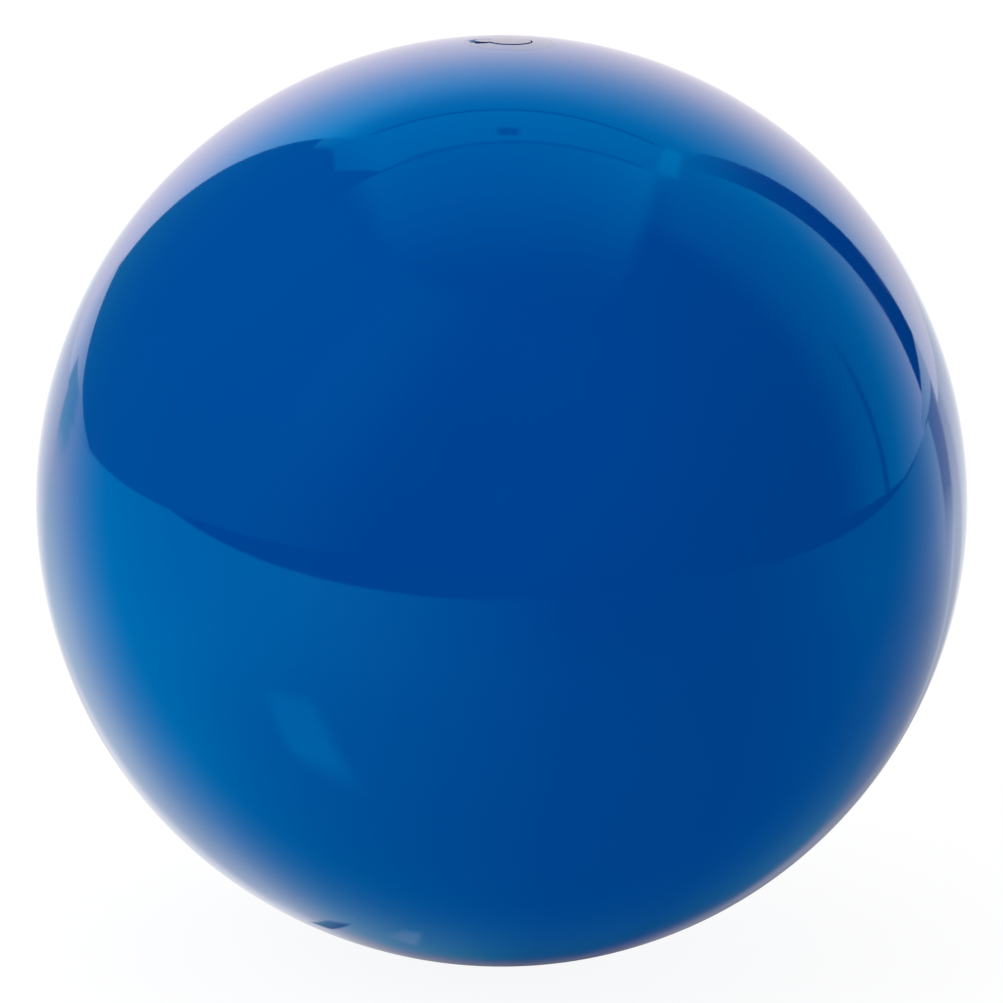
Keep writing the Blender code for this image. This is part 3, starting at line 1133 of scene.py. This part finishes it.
def floor_finish(stage):
    """Pale floor: white with the ball's shadow for the camera, and an even bounce for other rays.

    The gloss sees the lit sheet, and past its front and right edges the dark room.
    """
    material, nodes = new_finish("pale_floor")
    place = nodes.add("TexCoord", output=3)
    x = nodes.add("SeparateXYZ", {}, {0: place}, output=0)
    y = nodes.add("SeparateXYZ", {}, {0: place}, output=1)
    past_front = y + FRONT_EDGE + FRONT_SLOPE * x - FRONT_BEND * x * x
    past_right = y + RIGHT_EDGE - RIGHT_SLOPE * x
    within = nodes.step(past_front, 0, FRONT_SOFTNESS)
    within = within * nodes.step(past_right, 0, RIGHT_SOFTNESS)
    glow = nodes.add("Attribute", {"attribute_name": "glow"}, output=0)
    sheet = nodes.add("Emission", {}, {"Color": glow})
    room = nodes.add("Emission", {}, {"Color": (*ROOM_TINT, 1), "Strength": stage.room_gloss})
    seen = nodes.add("MixShader", {}, {0: within, 1: room, 2: sheet})
    bounce = nodes.add("Emission", {}, {"Strength": stage.floor_bounce})
    glossy_ray = nodes.add("LightPath", output="Is Glossy Ray")
    lit = nodes.add("MixShader", {}, {0: glossy_ray, 1: bounce, 2: seen})
    white = nodes.add("Emission", {}, {"Strength": stage.floor_glow})
    shaded = nodes.add("BsdfDiffuse", {}, {"Color": (*(stage.floor_shade,) * 3, 1)})
    for_camera = nodes.add("AddShader", {}, {0: white, 1: shaded})
    camera_ray = nodes.add("LightPath", output=0)
    nodes.surface(nodes.add("MixShader", {}, {0: camera_ray, 1: lit, 2: for_camera}))
    material.cycles.emission_sampling = "NONE"
    return material


def add_card(card):
    if card.height is None:
        grid = wall_surface(card.corners, card.distance)
    else:
        grid = level_surface(card.corners, card.height)
    mesh = glow_mesh(card.name, grid, card_glow(card))
    made = new_object(card.name, mesh, card_finish(card.name))
    made.visible_camera = False
    made.visible_diffuse = False
    made.visible_transmission = False
    made.visible_shadow = False


def add_lamp(name, place, power):
    """Soft square lamp that faces the ball and doesn't show in its gloss."""
    lamp = bpy.data.lights.new(name, "AREA")
    lamp.shape = "SQUARE"
    lamp.size = LAMP_SIZE
    lamp.energy = power
    made = bpy.data.objects.new(name, lamp)
    made.location = place
    made.rotation_euler = (-Vector(place)).to_track_quat("-Z", "Y").to_euler()
    made.visible_camera = False
    made.visible_glossy = False
    bpy.context.scene.collection.objects.link(made)


def camera_place(stage):
    rise = stage.camera_elevation
    return stage.camera_distance * Vector((0, -math.cos(rise), math.sin(rise)))


def add_camera(stage):
    lens = bpy.data.cameras.new("camera")
    lens.lens = stage.lens
    lens.shift_y = stage.camera_shift
    camera = bpy.data.objects.new("camera", lens)
    camera.location = camera_place(stage)
    aim = Euler((math.pi / 2 - stage.camera_elevation, 0, 0)).to_matrix()
    roll = Euler((0, 0, stage.camera_roll)).to_matrix()
    camera.rotation_euler = (aim @ roll).to_euler()
    bpy.context.scene.collection.objects.link(camera)
    bpy.context.scene.camera = camera


def set_world(stage):
    """White for the camera, even light for matt surfaces and a dark tinted room for the gloss."""
    world = bpy.data.worlds.new("studio")
    world.use_nodes = True
    nodes = Nodes(world.node_tree)
    camera_ray = nodes.add("LightPath", output=0)
    glossy_ray = nodes.add("LightPath", output="Is Glossy Ray")
    strength = stage.room_light + glossy_ray * (stage.room_gloss - stage.room_light)
    strength = strength + camera_ray * (1 - stage.room_light)
    shade = nodes.mix_colours(glossy_ray, (1, 1, 1), ROOM_TINT)
    light = nodes.add("Background", {}, {"Color": shade, "Strength": strength})
    nodes.add("OutputWorld", {}, {"Surface": light})
    bpy.context.scene.world = world


class BALL_OT_make_skin(bpy.types.Operator):
    """Make the ball's glossy skin"""

    bl_idname = "ball.make_skin"
    bl_label = "Make skin"

    def execute(self, context):
        skin = context.scene.ball_skin
        grid, poles = skin_surface(skin)
        mesh = grid_mesh("skin", grid, around=True, poles=poles)
        made = new_object("skin", mesh, skin_finish(skin))
        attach(made, "ball")
        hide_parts("ball_shell")
        return {"FINISHED"}


class BALL_OT_make_insert(bpy.types.Operator):
    """Make the valve's soft insert"""

    bl_idname = "ball.make_insert"
    bl_label = "Make insert"

    def execute(self, context):
        insert = context.scene.ball_insert
        mesh = grid_mesh("insert", insert_surface(insert), around=True, loop=True)
        made = new_object("insert", mesh, insert_finish(insert))
        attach(made, "ball")
        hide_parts("valve_seat")
        return {"FINISHED"}


class BALL_OT_make_plug(bpy.types.Operator):
    """Make the valve's plug with its pull tab"""

    bl_idname = "ball.make_plug"
    bl_label = "Make plug"

    def execute(self, context):
        plug = context.scene.ball_plug
        grid, poles = plug_surface(plug)
        mesh = grid_mesh("plug", grid, around=True, poles=poles)
        made = new_object("plug", mesh, plug_finish(plug))
        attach(made, "plug")
        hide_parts("valve_plug")
        return {"FINISHED"}


class BALL_OT_make_stage(bpy.types.Operator):
    """Make the camera, the floor, the light and the cards that the gloss shows"""

    bl_idname = "ball.make_stage"
    bl_label = "Make stage"

    def execute(self, context):
        stage = context.scene.ball_stage
        foot = -context.scene.ball_skin.radius
        context.scene.view_settings.view_transform = "Standard"
        add_camera(stage)
        set_world(stage)
        add_lamp("key_lamp", KEY_PLACE, stage.key_power)
        add_lamp("top_lamp", TOP_PLACE, stage.top_power)
        grid = floor_grid(foot)
        mesh = glow_mesh("floor", grid, floor_glow(grid))
        new_object("floor", mesh, floor_finish(stage))
        for card in CARDS:
            add_card(card)
        return {"FINISHED"}


class BALL_PT_panel(bpy.types.Panel):
    """Settings and operators of the ball"""

    bl_idname = "BALL_PT_panel"
    bl_label = "Gymnastics ball"
    bl_space_type = "VIEW_3D"
    bl_region_type = "UI"
    bl_category = "Ball"

    def draw(self, context):
        for operator, settings in STEPS:
            box = self.layout.box()
            box.operator(operator)
            group = getattr(context.scene, settings)
            for name in group.__annotations__:
                box.prop(group, name)


SETTINGS = {
    "ball_skin": SkinSettings,
    "ball_insert": InsertSettings,
    "ball_plug": PlugSettings,
    "ball_stage": StageSettings,
}
STEPS = (
    ("ball.make_skin", "ball_skin"),
    ("ball.make_insert", "ball_insert"),
    ("ball.make_plug", "ball_plug"),
    ("ball.make_stage", "ball_stage"),
)
CLASSES = (
    *SETTINGS.values(),
    BALL_OT_make_skin,
    BALL_OT_make_insert,
    BALL_OT_make_plug,
    BALL_OT_make_stage,
    BALL_PT_panel,
)


def register():
    for cls in CLASSES:
        bpy.utils.register_class(cls)
    for name, group in SETTINGS.items():
        setattr(bpy.types.Scene, name, PointerProperty(type=group))


def unregister():
    for name in SETTINGS:
        delattr(bpy.types.Scene, name)
    for cls in reversed(CLASSES):
        bpy.utils.unregister_class(cls)


def main():
    register()
    bpy.ops.ball.make_skin()
    bpy.ops.ball.make_insert()
    bpy.ops.ball.make_plug()
    bpy.ops.ball.make_stage()


if __name__ == "__main__":
    main()
